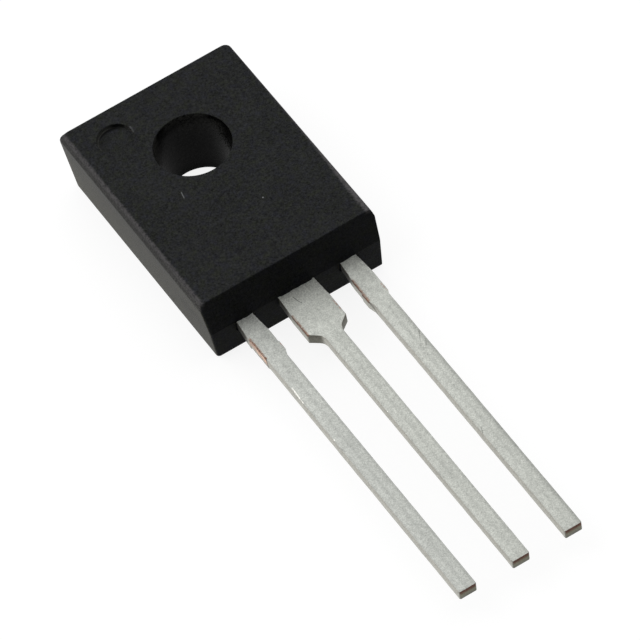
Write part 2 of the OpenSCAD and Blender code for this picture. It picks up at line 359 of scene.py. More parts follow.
@dataclass(frozen=True)
class EpoxyFinish:
    """Matt black moulding compound with a spark-eroded grain, a painted highlight along its long front
    edges, and painted light and shade on its sides, its lead end, its screw hole and its ejector recess.
    """

    name: str
    case: "MouldedCase"
    body: Colour = tone(35, 36, 36)
    # The long sides' colour and the side bevels' colour are lighter and warmer copies of the body's:
    # painted light.
    flank: Colour = tone(47, 46, 36)
    bevel: Colour = tone(57, 56, 54)
    # The colour of the painted highlight along the long front edges.
    edge_highlight: Colour = tone(87, 85, 86)
    # The parting line's colour, also used for the painted shade in the ejector recess.
    seam_and_recess_shade: Colour = tone(8, 8, 8)
    # The screw hole's wall is painted much darker than the body: painted shade.
    bore_wall_shade: Colour = tone(7, 7, 6)
    # The colour of the painted light on the walls of the screw hole and the ejector recess.
    painted_wall_light: Colour = tone(66, 66, 63)
    bluish: Colour = tone(34, 35, 39)
    olive: Colour = tone(36, 38, 33)
    marks: tuple[Stroke, ...] = ()
    pit_scale: float = 8.5
    fine_scale: float = 17.0
    cloud_scale: float = 0.8
    tint_scale: float = 3.0
    pit_depth: float = 0.008
    fine_depth: float = 0.005
    mean_unevenness: float = 2.30
    bore_contrast: float = 4.0
    flank_turn: Spot = (0.7, 0.95)
    bluish_band: Spot = (0.51, 0.64)
    olive_band: Spot = (0.49, 0.36)
    facet_soft: float = 0.06
    lip: float = 0.04
    bump: float = 0.8
    specular: float = 0.045
    coat_roughness: float = 0.16

    def material(self) -> Material:
        """Builds the moulding's material.

        Returns:
            The material.
        """
        tree = ShaderTree(self.name)
        pitted = tree.grain(self.pit_scale, detail=3.0, roughness=0.75)
        fine = tree.grain(self.fine_scale, detail=2.0, roughness=0.7)
        cloudy = tree.grain(self.cloud_scale, detail=3.0)
        flank = abs(tree.facing_x).rise(*self.flank_turn)
        tint = tree.grain(self.tint_scale, detail=3.0, roughness=0.75, shift=(3.0, 8.0, 5.0))
        body = tree.mix(tint.rise(*self.bluish_band), self.body, self.bluish)
        body = tree.mix(tint.rise(*self.olive_band), body, self.olive)
        bevel_foot = self.case.height - self.case.side_bevel[1]
        facet = tree.z.rise(bevel_foot - self.facet_soft, bevel_foot + self.facet_soft)
        # Lighter copies of the epoxy on the long sides and their bevels: painted light.
        base = tree.mix(flank, body, tree.mix(facet, self.flank, self.bevel))
        uneven = 0.5 * cloudy + 2.2 * pitted + 1.9 * fine - self.mean_unevenness
        # Painted light and shade over the long sides and the lead end, with the grain.
        base = tree.shade(base, self._painted_shading(tree, flank) * (1.0 + uneven * (1.0 + 0.4 * flank)))
        # Painted shade in the ejector recess.
        base = tree.mix(self._recess_shade(tree), base, self.seam_and_recess_shade)
        # Painted highlight along the long front edges.
        base = tree.mix(self._painted_edge_highlight(tree, pitted), base, self.edge_highlight)
        base = tree.mix(self._seam(tree), base, self.seam_and_recess_shade)
        for mark in self.marks:
            base = mark.over(tree, base)
        bore = self._bore(tree)
        mottled = (1.0 + self.bore_contrast * uneven) | 0.0
        # Painted shade on the screw hole's wall, mottled by the grain.
        base = tree.mix(0.97 * bore, base, tree.shade(self.bore_wall_shade, mottled))
        # Painted light on the screw hole's wall, broken up by the grain.
        base = tree.mix(0.8 * bore * self._bore_painted_light(tree) * pitted.rise(0.30, 0.60), base, self.painted_wall_light)
        # Painted light on the ejector recess's wall on the emitter's side.
        base = tree.mix(self._recess_painted_light(tree), base, self.painted_wall_light)
        height = self.pit_depth * pitted + self.fine_depth * fine
        roughness = 0.52 + 0.16 * pitted - 0.20 * flank - 0.22 * bore
        return tree.set(
            Base_Color=base,
            Roughness=roughness,
            Normal=tree.relief(height, self.bump),
            Specular_IOR_Level=self.specular,
            Coat_Weight=bore * (0.013 - 0.006 * tree.x) * mottled,
            Coat_Roughness=self.coat_roughness,
        )

    def _bore(self, tree: ShaderTree) -> Level:
        """The wall of the screw hole, which a smooth core pin leaves glossier than the rest."""
        rim = self.case.hole_radius
        wall = tree.radius((0.0, 0.0)).rise(rim + 0.06, rim + 0.01)
        return wall * tree.z.rise(self.case.height - 0.01, self.case.height - self.lip)

    def _bore_painted_light(self, tree: ShaderTree) -> Level:
        """Painted light on the bore's wall: at the front rim, deeper at the far corner, and at the left."""
        top = self.case.height
        x, y, z = tree.x, tree.y, tree.z
        rim = z.rise(top - 0.5, top - 0.1) * (0.26 * x + 0.97 * y).rise(1.15, 1.45)
        corner = z.rise(top - 1.5, top - 0.5) * z.rise(top - 0.12, top - 0.38)
        corner = 0.75 * corner * (0.64 * x + 0.77 * y).rise(1.08, 1.40)
        left = z.rise(top - 2.2, top - 1.0) * (0.57 * y - 0.82 * x).rise(1.38, 1.50)
        return rim | corner | left

    def _painted_shading(self, tree: ShaderTree, flank: Level) -> Level:
        """Painted light and shade over the long sides and the lead end: the sides darker near the front and
        lighter lower down, towards the hole end and, high up, towards the lead end; the lead end darker
        above the parting line and lighter below it, more so towards +X.

        Args:
            tree: the material's tree.
            flank: where the long sides are.

        Returns:
            A factor round 1.
        """
        low = 0.28 * tree.z.rise(2.6, 2.0) + 0.44 * tree.z.rise(2.0, 0.3) - 0.25
        low = low + 0.28 * tree.z.rise(0.5, 0.05)
        at_hole = 0.6 * tree.y.rise(2.3, 3.5) * tree.z.rise(2.5, 0.8)
        at_leads = 0.5 * tree.y.rise(-3.8, -5.8) * tree.z.rise(1.5, 2.3)
        end = tree.facing_y.rise(-0.7, -0.95)
        above = tree.z.rise(self.case.parting - 0.05, self.case.parting + 0.05)
        below = (1.0 - above) * (0.05 + 0.36 * tree.x.rise(-1.0, 3.0))
        return 1.0 + flank * (low + at_hole + at_leads) + end * (below - 0.22 * above)

    def _recess_painted_light(self, tree: ShaderTree) -> Level:
        """Painted light on the wall of the ejector recess on the emitter's side."""
        x, y = self.case.recess_centre
        rim = self.case.recess_radius
        radius = tree.radius((x, y))
        wall = radius.rise(rim - 0.08, rim - 0.02) * radius.rise(rim + 0.05, rim + 0.01)
        side = (0.77 * (x - tree.x) + 0.64 * (tree.y - y)).rise(0.15, 0.50)
        deep = tree.z.rise(self.case.height - 0.01, self.case.height - self.lip)
        return 0.90 * wall * side * deep

    def _recess_shade(self, tree: ShaderTree) -> Level:
        """Painted shade in the ejector recess, thickest under the wall on the hole end's side, with a
        softer patch towards the left.
        """
        x, y = self.case.recess_centre
        rim, front = self.case.recess_radius, self.case.height
        radius = tree.radius((x, y))
        inside = tree.z.rise(front - 0.01, front - 0.03) * radius.rise(0.9, 0.8)
        top = (tree.y - y).rise(0.20, 0.62)
        ring = (radius + 0.20 * top).rise(rim - 0.08, rim + 0.10)
        left = tree.near_line((x - 0.46, y + 0.22, front), (x - 0.30, y + 0.42, front), 0.34, 0.34)
        return inside * (0.85 * ring * top | 0.40 * left)

    def _painted_edge_highlight(self, tree: ShaderTree, pitted: Level) -> Level:
        """A painted highlight: a paler line along both long front edges, widest on the +X side at the lead
        end.
        """
        case = self.case
        edge = case.half_width - case.side_bevel[0]
        reach = 0.13 * tree.y.rise(-2.0, -6.5) * tree.x.rise(0.0, 1.0)
        strip = (abs(tree.x) + reach + 0.10 * pitted).rise(edge - 0.10, edge + 0.05)
        top = tree.z.rise(case.height - 0.19, case.height - 0.03)
        patchy = 0.50 + 0.42 * pitted.rise(0.36, 0.60)
        return strip * top * patchy * (1.0 - 0.5 * tree.y.rise(3.2, 3.8))

    def _seam(self, tree: ShaderTree) -> Level:
        """The mould's parting line on the lead end, clearest beside the emitter lead."""
        level = abs(tree.z - self.case.parting).rise(0.035, 0.010)
        end = tree.y.rise(self.case.lead_end + 0.1, self.case.lead_end + 0.02)
        return level * end * (0.25 + 0.65 * tree.x.rise(-2.4, -2.7))


@dataclass(frozen=True)
class TinFinish:
    """Dull tin plating on one stamped strip, with sheared sides and a cut tip, and painted light and shade
    along it.
    """

    name: str
    centre_x: float
    free_half: float = 0.37
    free_from: float = -9.9
    tip: float = -23.08
    face: Colour = tone(184, 186, 180)
    side: Colour = tone(196, 195, 187)
    # A darker copy of the side colour for faces that look along the strip: painted shade.
    end: Colour = tone(118, 117, 109)
    sheared: Colour = tone(124, 96, 78)
    # The colour of the painted shade on the strip's sides next to the case.
    painted_root_shade: Colour = tone(50, 49, 46)
    tie_from: float = -8.27
    tie_to: float = -9.41
    tip_upper: Colour = tone(98, 70, 60)
    tip_lower: Colour = tone(132, 131, 114)
    tip_corner: Colour = tone(56, 43, 39)
    right_shade: float = 0.0
    marks: tuple[Stroke, ...] = ()
    speckle_scale: float = 24.0
    blotch_scale: float = 5.5
    drawn_scale: float = 6.0
    cloud_scale: float = 0.7
    speckle_depth: float = 0.005
    blotch_depth: float = 0.004
    mean_lightness: float = 0.255
    upright_turn: Spot = (0.75, 0.40)
    forward_turn: Spot = (0.25, 0.70)
    bump: float = 0.6

    def material(self) -> Material:
        """Builds the plating's material.

        Returns:
            The material.
        """
        tree = ShaderTree(self.name)
        speckle = tree.grain(self.speckle_scale, detail=3.0, roughness=0.75)
        blotch = tree.grain(self.blotch_scale, detail=3.0, roughness=0.6)
        drawn = tree.grain(self.drawn_scale, detail=2.0, stretch=(1.0, 0.07, 1.0))
        cloudy = tree.grain(self.cloud_scale, detail=2.0)
        upright = abs(tree.facing_z).rise(*self.upright_turn)
        forward = abs(tree.facing_y).rise(*self.forward_turn)
        # Faces that look along the strip get the darker end colour: painted shade.
        base = tree.mix(upright, self.face, tree.mix(forward, self.side, self.end))
        # Painted shade on the sides next to the case: darker, and less metallic.
        painted_root_shade = upright * (tree.y + 0.5 * blotch).rise(self.tie_from + 0.28, self.tie_from + 0.75)
        base = tree.mix(painted_root_shade * 0.9, base, self.painted_root_shade)
        base = tree.shade(base, self._unevenness(tree, upright))
        beside = upright * (1.0 - 0.7 * forward)
        base = tree.mix(self._shear_line(tree, beside, blotch), base, self.sheared)
        for mark in self.marks:
            base = mark.over(tree, base)
        base = tree.mix(self._cut(tree), base, self._cut_colour(tree))
        grains = 1.85 * speckle + 0.40 * blotch + 0.12 * drawn + 0.14 * cloudy
        # The grain, times the painted light along the strip.
        base = tree.shade(base, (grains - self.mean_lightness) * self._root_light(tree))
        height = self.speckle_depth * speckle + self.blotch_depth * blotch
        roughness = 0.46 + 0.16 * speckle + 0.06 * upright
        return tree.set(
            Base_Color=base,
            Metallic=1.0 - 0.7 * painted_root_shade,
            Roughness=roughness,
            Normal=tree.relief(height, self.bump),
        )

    def _unevenness(self, tree: ShaderTree, upright: Level) -> Level:
        """Makes the free part's face a little darker at its edges and along its middle."""
        across = tree.x - self.centre_x
        free = tree.y.rise(self.free_from + 0.3, self.free_from - 0.3) * (1.0 - upright)
        rim = abs(across).rise(self.free_half - 0.12, self.free_half - 0.03)
        middle = abs(across).rise(0.11, 0.0)
        right = across.rise(0.12, self.free_half - 0.04) * self.right_shade
        return 1.0 - free * (0.10 * rim + 0.09 * middle + right)

    def _root_light(self, tree: ShaderTree) -> Level:
        """Painted light along the strip: lighter a short way from the case, less so right beside it, and a
        little darker towards the tip.
        """
        near = tree.y.rise(CASE_END - 1.30, CASE_END - 0.60)
        near = near * (1.0 - 0.5 * tree.y.rise(CASE_END - 0.35, CASE_END - 0.05))
        return 1.0 + 0.20 * near - 0.05 * tree.y.rise(CASE_END - 4.0, CASE_END - 12.0)

    def _shear_line(self, tree: ShaderTree, beside: Level, blotch: Level) -> Level:
        """The brown line where the die has dragged the plating off, just under the face."""
        line = tree.z.rise(LEAD_TOP - 0.18, LEAD_TOP - 0.08)
        tie = tree.y.rise(self.tie_to - 0.03, self.tie_to + 0.03)
        tie = tie * tree.y.rise(self.tie_from + 0.05, self.tie_from - 0.05)
        return beside * line * (0.08 + 0.80 * tie) * blotch.rise(0.30, 0.50)

    def _cut(self, tree: ShaderTree) -> Level:
        """The sheared-off tip's own face."""
        return tree.y.rise(self.tip + 0.05, self.tip + 0.02) * abs(tree.facing_y).rise(0.5, 0.8)

    def _cut_colour(self, tree: ShaderTree) -> Socket:
        """Brown copper above, dull plating dragged over it below, darkest at the left corner."""
        ragged = tree.z + 0.10 * tree.grain(8.0, detail=2.0)
        upper = ragged.rise(LEAD_BOTTOM + 0.24, LEAD_BOTTOM + 0.46)
        colour = tree.mix(upper, self.tip_lower, self.tip_upper)
        corner = (tree.x - self.centre_x).rise(0.06 - self.free_half, 0.01 - self.free_half)
        return tree.mix(corner, colour, self.tip_corner)


@dataclass(frozen=True)
class InnerFinish:
    """A simple finish for what is sealed inside: the chip, its solder and the bond wires."""

    name: str
    colour: Colour
    metallic: float
    roughness: float

    def material(self) -> Material:
        """Builds the material, with a slight unevenness in colour and gloss.

        Returns:
            The material.
        """
        tree = ShaderTree(self.name)
        uneven = tree.grain(6.0, detail=3.0)
        base = tree.shade(self.colour, 0.85 + 0.3 * uneven)
        return tree.set(
            Base_Color=base,
            Metallic=self.metallic,
            Roughness=self.roughness + 0.2 * uneven,
            Normal=tree.relief(0.002 * uneven),
        )


def cad_shape(node: str) -> Shape:
    """Copies a CAD node's mesh, welded and in millimetres.

    Args:
        node: the node's name.

    Returns:
        The copy.
    """
    shape = bmesh.new()
    shape.from_mesh(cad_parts[node].data)
    bmesh.ops.scale(shape, vec=(1 / MM,) * 3, verts=shape.verts)
    bmesh.ops.remove_doubles(shape, verts=shape.verts, dist=WELD_GAP)
    flat = math.radians(FLAT_ANGLE)
    bmesh.ops.dissolve_limit(shape, angle_limit=flat, verts=shape.verts, edges=shape.edges)
    return shape


def fillet(path: Path, reaches: tuple[float, ...], steps: int) -> Path:
    """Rounds the inner corners of an open path and leaves out its two ends.

    Args:
        path: the path's points.
        reaches: for each inner corner, how far along both legs its rounding starts.
        steps: straight stretches in each rounding.

    Returns:
        The points of the roundings, in order.
    """
    rounded = []
    for before, corner, after, reach in zip(path, path[1:], path[2:], reaches):
        here = Vector(corner)
        start = here + (Vector(before) - here).normalized() * reach
        end = here + (Vector(after) - here).normalized() * reach
        for i in range(steps + 1):
            share = i / steps
            rounded.append(tuple(start.lerp(here, share).lerp(here.lerp(end, share), share)))
    return rounded


def reach_at(profile: Path, height: float) -> float:
    """How far out a rising profile stands at a height.

    Args:
        profile: its points, as distance outward and height.
        height: the height, which is held within the profile's own.

    Returns:
        The distance outward.
    """
    for (low_reach, low), (high_reach, high) in zip(profile, profile[1:]):
        if low <= height < high:
            return low_reach + (high_reach - low_reach) * (height - low) / (high - low)
    return profile[0][0] if height < profile[0][1] else profile[-1][0]


def close_rings(shape: Shape, rings: list[list[bmesh.types.BMVert]]) -> None:
    """Joins stacked rings of points with faces and closes both ends."""
    for low, high in zip(rings, rings[1:]):
        for i in range(len(low)):
            j = (i + 1) % len(low)
            shape.faces.new((low[i], low[j], high[j], high[i]))
    shape.faces.new(list(reversed(rings[0])))
    shape.faces.new(rings[-1])


def point_on_circle(centre: Spot, radius: float, angle: float) -> Spot:
    """The point of a circle at an angle."""
    return (centre[0] + radius * math.cos(angle), centre[1] + radius * math.sin(angle))


def lathe(profile: Path, centre: Spot, segments: int) -> Shape:
    """Turns a profile round an upright axis into a closed solid.

    Args:
        profile: radius and height of each ring, from the bottom up.
        centre: the axis's place.
        segments: flat sides round the axis.

    Returns:
        The solid.
    """
    shape = bmesh.new()
    rings = []
    for radius, height in profile:
        circle = [point_on_circle(centre, radius, math.tau * i / segments) for i in range(segments)]
        rings.append([shape.verts.new((x, y, height)) for x, y in circle])
    close_rings(shape, rings)
    return shape


def sharp_edges(shape: Shape, angle: float, keep: Callable[[Vector], bool]) -> list:
    """Picks the edges that bend by more than an angle and whose two ends both pass a test.

    Args:
        shape: the mesh.
        angle: the least bend, in degrees.
        keep: the test on a point.

    Returns:
        The edges.
    """
    limit = math.radians(angle)
    return [
        edge
        for edge in shape.edges
        if edge.is_manifold
        and edge.calc_face_angle(0.0) > limit
        and all(keep(vert.co) for vert in edge.verts)
    ]


def soften(shape: Shape, edges: list, radius: float, segments: int) -> None:
    """Rounds edges to about a radius."""
    bmesh.ops.bevel(
        shape,
        geom=edges,
        offset=radius,
        offset_type="OFFSET",
        segments=segments,
        profile=0.5,
        affect="EDGES",
        clamp_overlap=True,
    )


def add_object(name: str, data: bpy.types.ID) -> bpy.types.Object:
    """Makes an object from its data and puts it in the scene."""
    made = bpy.data.objects.new(name, data)
    bpy.context.scene.collection.objects.link(made)
    return made


def mesh_object(shape: Shape, name: str) -> bpy.types.Object:
    """Makes an object from a mesh, which is used up."""
    mesh = bpy.data.meshes.new(name)
    shape.to_mesh(mesh)
    shape.free()
    return add_object(name, mesh)


def carve(body: Shape, cutters: list[Shape]) -> Shape:
    """Cuts solids out of a body.

    Args:
        body: what is cut.
        cutters: what is taken away, one after the other.

    Returns:
        What is left.
    """
    work = mesh_object(body, "carve_body")
    tools = [mesh_object(cutter, f"carve_tool_{i}") for i, cutter in enumerate(cutters)]
    for tool in tools:
        step = work.modifiers.new(tool.name, "BOOLEAN")
        step.operation = "DIFFERENCE"
        step.solver = "EXACT"
        step.object = tool
    evaluated = work.evaluated_get(bpy.context.evaluated_depsgraph_get())
    left = bmesh.new()
    left.from_mesh(evaluated.to_mesh())
    evaluated.to_mesh_clear()
    for used in [work, *tools]:
        mesh = used.data
        bpy.data.objects.remove(used)
        bpy.data.meshes.remove(mesh)
    return left


def show(
    shape: Shape,
    name: str,
    material: Material,
    node: str | None,
) -> bpy.types.Object:
    """Makes a finished piece from a mesh in millimetres.

    Args:
        shape: the mesh, which is used up.
        name: the piece's name.
        material: its material.
        node: the CAD node whose place it takes, where it takes one.

    Returns:
        The piece.
    """
    bmesh.ops.scale(shape, vec=(MM,) * 3, verts=shape.verts)
    piece = mesh_object(shape, name)
    mesh = piece.data
    mesh.shade_smooth()
    mesh.set_sharp_from_angle(angle=math.radians(SHARP_ANGLE))
    mesh.materials.append(material)
    even = piece.modifiers.new("even_normals", "WEIGHTED_NORMAL")
    even.keep_sharp = True
    even.weight = NORMAL_WEIGHT
    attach(piece, ROOT_BODY)
    if node is not None:
        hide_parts(node)
    LOG.info("%s: %d faces, stands for %s", name, len(mesh.polygons), node)
    return piece


@dataclass(frozen=True)
class MouldedCase:
    """The epoxy case: drafted sides, bevelled front, lined screw hole and ejector recess.

    The steps of the hole and the recess say how far out and how far up each ring of the cutter lies,
    from the radius and the level that the ring belongs to.
    """

    half_width: float = 3.83
    height: float = 3.03
    hole_end: float = 3.89
    lead_end: float = CASE_END
    side_draft: float = 3.9
    end_draft: float = 5.8
    lead_end_draft: float = 10.6
    lead_end_back_draft: float = 2.3
    side_bevel: Spot = (0.10, 0.40)
    end_bevel: Spot = (0.37, 0.50)
    parting: float = LEAD_TOP
    hole_corner: float = 0.27
    lead_corner: float = 0.14
    far_lead_corner: float = 0.03
    hole_end_inset: float = 0.075
    edge_radius: float = 0.045
    long_edge: float = 0.11
    parting_edge: float = 0.012
    edge_steps: int = 5
    corner_steps: int = 9
    hole_radius: float = 1.52
    hole_back_radius: float = 1.37
    hole_foot: Steps = ((0.0, -CUTTER_REACH), (0.0, 0.02), (0.027, 0.14), (0.052, 0.32), (0.080, 0.70))
    hole_wall: Steps = ((-0.03, 1.50), (0.0, 2.30))
    hole_rim: Steps = ((0.0, -0.04), (0.008, -0.014), (0.026, 0.003), (0.08, 0.02), (0.08, CUTTER_REACH))
    hole_segments: int = 128
    recess_radius: float = 0.72
    recess_depth: float = 0.15
    recess_centre: Spot = (-2.2, 2.08)
    recess_foot: Steps = ((-0.065, 0.0), (-0.025, 0.014), (-0.004, 0.055))
    recess_rim: Steps = ((0.0, -0.050), (0.013, -0.014), (0.034, 0.002), (0.06, 0.02), (0.06, CUTTER_REACH))
    recess_segments: int = 96
    back_plane: float = 0.001

    def side_x(self, z: float) -> float:
        """Half the width at a height."""
        width, height = self.side_bevel
        start = self.height - height
        if z > start:
            return self.half_width - (z - start) * width / height
        return self.half_width - (start - z) * math.tan(math.radians(self.side_draft))

    def hole_end_y(self, z: float) -> float:
        """Where the end with the hole stands at a height."""
        width, height = self.end_bevel
        start = self.height - height
        if z > start:
            return self.hole_end - (z - start) * width / height
        return self.hole_end - (start - z) * math.tan(math.radians(self.end_draft))

    def lead_end_y(self, z: float) -> float:
        """Where the end with the leads stands at a height."""
        draft = self.lead_end_draft if z > self.parting else self.lead_end_back_draft
        return self.lead_end + abs(z - self.parting) * math.tan(math.radians(draft))

    def _profiles(self) -> tuple[Path, ...]:
        """The rounded sections of a long side, of the hole end and of the lead end.

        Returns:
            Three paths from the back face to the front face, as distance outward and height.
        """
        top = self.height
        side_start = top - self.side_bevel[1]
        end_start = top - self.end_bevel[1]
        side = [(self.side_x(z), z) for z in (0.0, side_start, top)]
        hole = [(self.hole_end_y(z), z) for z in (0.0, end_start, top)]
        lead = [(-self.lead_end_y(z), z) for z in (0.0, self.parting, top)]
        small = self.edge_radius
        sections = (
            (side, (small, small, self.long_edge)),
            (hole, (small, small, small)),
            (lead, (small, self.parting_edge, small)),
        )
        return tuple(
            fillet([(0.0, 0.0), *section, (0.0, top)], reaches, self.edge_steps)
            for section, reaches in sections
        )

    def _outline(self, side: float, hole: float, lead: float) -> Path:
        """The outline at one height, with its corners rounded and one side drawn in at the hole.

        Args:
            side, hole, lead: how far out a long side, the hole end and the lead end stand.

        Returns:
            Its points in X and Y.
        """
        outline = []
        for turn, x, y, radius in (
            (0, side - self.hole_end_inset, hole, self.hole_corner),
            (90, -side, hole, self.hole_corner),
            (180, -side, -lead, self.lead_corner),
            (270, side, -lead, self.far_lead_corner),
        ):
            middle = (x - math.copysign(radius, x), y - math.copysign(radius, y))
            for i in range(self.corner_steps + 1):
                angle = math.radians(turn + 90 * i / self.corner_steps)
                outline.append(point_on_circle(middle, radius, angle))
        return outline

    def blank(self) -> Shape:
        """The outer form, with its edges rounded.

        Returns:
            The closed form.
        """
        profiles = self._profiles()
        levels = sorted({round(z, 3) for profile in profiles for distance, z in profile})
        shape = bmesh.new()
        rings = []
        for z in levels:
            outline = self._outline(*(reach_at(profile, z) for profile in profiles))
            rings.append([shape.verts.new((x, y, z)) for x, y in outline])
        close_rings(shape, rings)
        return shape

    def bore(self) -> Shape:
        """What the screw hole takes away: rounded at the front and a little tapered to the back.

        Returns:
            The turned solid.
        """
        profile = [(self.hole_back_radius + out, up) for out, up in self.hole_foot]
        profile += [(self.hole_radius + out, up) for out, up in self.hole_wall]
        profile += [(self.hole_radius + out, self.height + up) for out, up in self.hole_rim]
        return lathe(profile, (0.0, 0.0), self.hole_segments)

    def recess(self) -> Shape:
        """What the ejector pin leaves in the front face.

        Returns:
            The turned solid.
        """
        floor = self.height - self.recess_depth
        profile = [(self.recess_radius + out, floor + up) for out, up in self.recess_foot]
        profile += [(self.recess_radius + out, self.height + up) for out, up in self.recess_rim]
        return lathe(profile, self.recess_centre, self.recess_segments)

    def build(self, finish: Material) -> bpy.types.Object:
        """Builds and dresses the case.

        Args:
            finish: the moulding's material.

        Returns:
            The piece.
        """
        spreader = cad_shape("collector_frame")
        for vert in spreader.verts:
            if vert.co.z < self.back_plane:
                vert.co.z = -CUTTER_REACH
        held = ("emitter_lead", "base_lead", "die_solder", "transistor_die", "emitter_wire", "base_wire")
        cutters = [self.bore(), self.recess(), spreader, *(cad_shape(node) for node in held)]
        body = carve(self.blank(), cutters)
        return show(body, "case_body", finish, "moulded_case")


@dataclass(frozen=True)
class Dent:
    """A stretch of a strip's side that the tie bar's cutter has taken a little too deep."""

    side: int
    start: float
    end: float
    depth: float
    ramp: float = 0.06

    def inward(self, point: Vector, middle: float, least: float) -> float:
        """How far a point moves along X.

        Args:
            point: the point.
            middle: the strip's middle line in X.
            least: how far from it the side lies at least.

        Returns:
            The move, which is 0 away from the dent.
        """
        if self.side * (point.x - middle) < least:
            return 0.0
        to_edge = min(point.y - self.end, self.start - point.y)
        share = min(1.0, max(0.0, to_edge / self.ramp))
        return -self.side * self.depth * share


@dataclass(frozen=True)
class LeadStrip:
    """One stamped piece of the lead frame, with a rolled back edge and slightly uneven sides."""

    node: str
    name: str
    finish: TinFinish
    face_edge: float = 0.018
    face_steps: int = 2
    back_edge: float = 0.055
    back_steps: int = 3
    least_bend: Spot = (40, 50)
    clear: float = 0.02
    section: float = 0.22
    unevenness: float = 0.006
    waves: float = 2.3
    burr: float = 0.014
    burr_waves: float = 4.0
    tip_lean: float = 0.05
    tip_zone: float = 0.1
    side_zone: float = 0.03
    stub: Spot = (-9.75, -8.85)
    dents: tuple[Dent, ...] = ()
    bend: float = 0.0

    def outside(self, point: Vector) -> bool:
        """Whether a point lies clear of the moulding."""
        return point.y < CASE_END - self.clear

    def _cut_sections(self, shape: Shape) -> None:
        """Cuts the free part into short lengths, so that its sides can be made uneven."""
        free = CASE_END - self.finish.tip
        places = [self.finish.tip + i * self.section for i in range(1, math.ceil(free / self.section))]
        for dent in self.dents:
            places += [dent.end, dent.end + dent.ramp, dent.start - dent.ramp, dent.start]
        for place in places:
            everything = [*shape.verts, *shape.edges, *shape.faces]
            bmesh.ops.bisect_plane(shape, geom=everything, plane_co=(0, place, 0), plane_no=(0, 1, 0))

    def _make_uneven(self, shape: Shape) -> None:
        """Bends the strip and moves its points a little, and more where the tie bar was cut off."""
        low, high = self.stub
        finish = self.finish
        free = CASE_END - finish.tip
        for vert in filter(lambda point: self.outside(point.co), shape.verts):
            seed = vert.co * self.waves + Vector((0.0, 0.0, finish.centre_x))
            sway = noise.noise_vector(seed) * self.unevenness
            sway.x += self.bend * (CASE_END - vert.co.y) / free
            if low < vert.co.y < high:
                sway += noise.noise_vector(seed * self.burr_waves) * self.burr
            if vert.co.y < finish.tip + self.tip_zone:
                sway.y = self.tip_lean * (LEAD_TOP - vert.co.z) / (LEAD_TOP - LEAD_BOTTOM)
            for dent in self.dents:
                sway.x += dent.inward(vert.co, finish.centre_x, finish.free_half - self.side_zone)
            vert.co += sway

    def build(self) -> bpy.types.Object:
        """Builds and dresses the strip.

        Returns:
            The piece.
        """
        shape = cad_shape(self.node)
        middle = (LEAD_TOP + LEAD_BOTTOM) / 2
        back_bend, face_bend = self.least_bend
        self._cut_sections(shape)
        back = sharp_edges(shape, back_bend, lambda point: self.outside(point) and point.z < middle)
        soften(shape, back, self.back_edge, self.back_steps)
        face = sharp_edges(shape, face_bend, lambda point: self.outside(point) and point.z > middle)
        soften(shape, face, self.face_edge, self.face_steps)
        self._make_uneven(shape)
        return show(shape, self.name, self.finish.material(), self.node)


@dataclass(frozen=True)
class RootResin:
    """The thin ragged skin of resin that has crept along each lead where it leaves the case."""

    centres: tuple[float, ...] = (-PITCH, 0.0, PITCH)
    halves: tuple[float, ...] = (0.435, 0.79, 0.435)
    sides: int = 72
    squareness: int = 10
    thickness: float = 0.012
    lip: float = 0.004
    sunk: float = 0.01
    rooted: float = 0.12
    creep: float = 0.045
    least_creep: float = 0.015
    raggedness: float = 0.06
    waves: Spot = (3.1, 6.0)

    def _ring(self, centre: float, half: float, grow: float) -> Path:
        """A rounded outline round a lead's section, as places in X and Z."""
        middle = (LEAD_TOP + LEAD_BOTTOM) / 2
        tall = (LEAD_TOP - LEAD_BOTTOM) / 2
        power = self.squareness
        ring = []
        for i in range(self.sides):
            angle = math.tau * i / self.sides
            c, s = math.cos(angle), math.sin(angle)
            stretch = (abs(c) ** power + abs(s) ** power) ** (-1 / power)
            ring.append((centre + (half + grow) * c * stretch, middle + (tall + grow) * s * stretch))
        return ring

    def build(self, finish: Material) -> bpy.types.Object:
        """Builds the three skins as one piece.

        Args:
            finish: the moulding's material.

        Returns:
            The piece.
        """
        shape = bmesh.new()
        for centre, half in zip(self.centres, self.halves):
            root, lip, inner = (
                self._ring(centre, half, grow) for grow in (self.thickness, self.lip, -self.sunk)
            )
            buried = CASE_END + self.rooted
            strands = []
            for (rx, rz), (lx, lz), (ix, iz) in zip(root, lip, inner):
                seed = Vector((rx * self.waves[0], rz * self.waves[1], centre))
                creep = self.creep + self.raggedness * noise.noise(seed)
                end = CASE_END - max(self.least_creep, creep)
                strand = (
                    (rx, buried, rz),
                    (rx, (CASE_END + end) / 2, rz),
                    (lx, end, lz),
                    (ix, end + self.sunk, iz),
                    (ix, buried, iz),
                )
                strands.append([shape.verts.new(place) for place in strand])
            rows = list(zip(*strands))
            for near, far in zip(rows, rows[1:] + rows[:1]):
                for i in range(self.sides):
                    j = (i + 1) % self.sides
                    shape.faces.new((near[i], near[j], far[j], far[i]))
        bmesh.ops.recalc_face_normals(shape, faces=shape.faces)
        return show(shape, "root_resin", finish, None)


